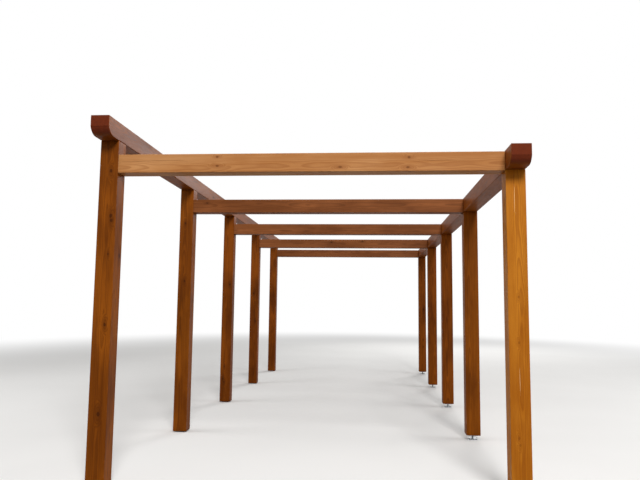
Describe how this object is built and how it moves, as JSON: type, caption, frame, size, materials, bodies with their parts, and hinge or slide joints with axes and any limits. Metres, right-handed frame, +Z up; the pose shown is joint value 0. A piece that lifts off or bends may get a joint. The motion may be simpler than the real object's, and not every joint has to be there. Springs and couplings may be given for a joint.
{
  "type": "timber carport frame",
  "caption": "Open lean-to carport frame of square stained timbers: posts on pin feet, two long plates at different heights and crossbeams between them, no roof.",
  "frame": {"origin": "on the ground in the middle of the frame", "axes": "+Y from the open front to the rear, along the plates; +X from the tall row of posts to the short row; +Z up"},
  "size_m": [3.13, 8.52, 2.68],
  "materials": {
    "posts": "satin stained planed softwood",
    "plates": "satin stained planed softwood",
    "crossbeams": "satin stained planed softwood",
    "pin_feet": "galvanised steel"
  },
  "bodies": {
    "root": {"left_post_1": "posts", "right_post_1": "posts", "left_post_2": "posts", "right_post_2": "posts", "left_post_3": "posts", "right_post_3": "posts", "left_post_4": "posts", "right_post_4": "posts", "left_post_5": "posts", "right_post_5": "posts", "left_plate": "plates", "right_plate": "plates", "crossbeam_1": "crossbeams", "crossbeam_2": "crossbeams", "crossbeam_3": "crossbeams", "crossbeam_4": "crossbeams", "crossbeam_5": "crossbeams", "left_foot_1": "pin_feet", "right_foot_1": "pin_feet", "left_foot_2": "pin_feet", "right_foot_2": "pin_feet", "left_foot_3": "pin_feet", "right_foot_3": "pin_feet", "left_foot_4": "pin_feet", "right_foot_4": "pin_feet", "left_foot_5": "pin_feet", "right_foot_5": "pin_feet"}
  },
  "joints": []
}
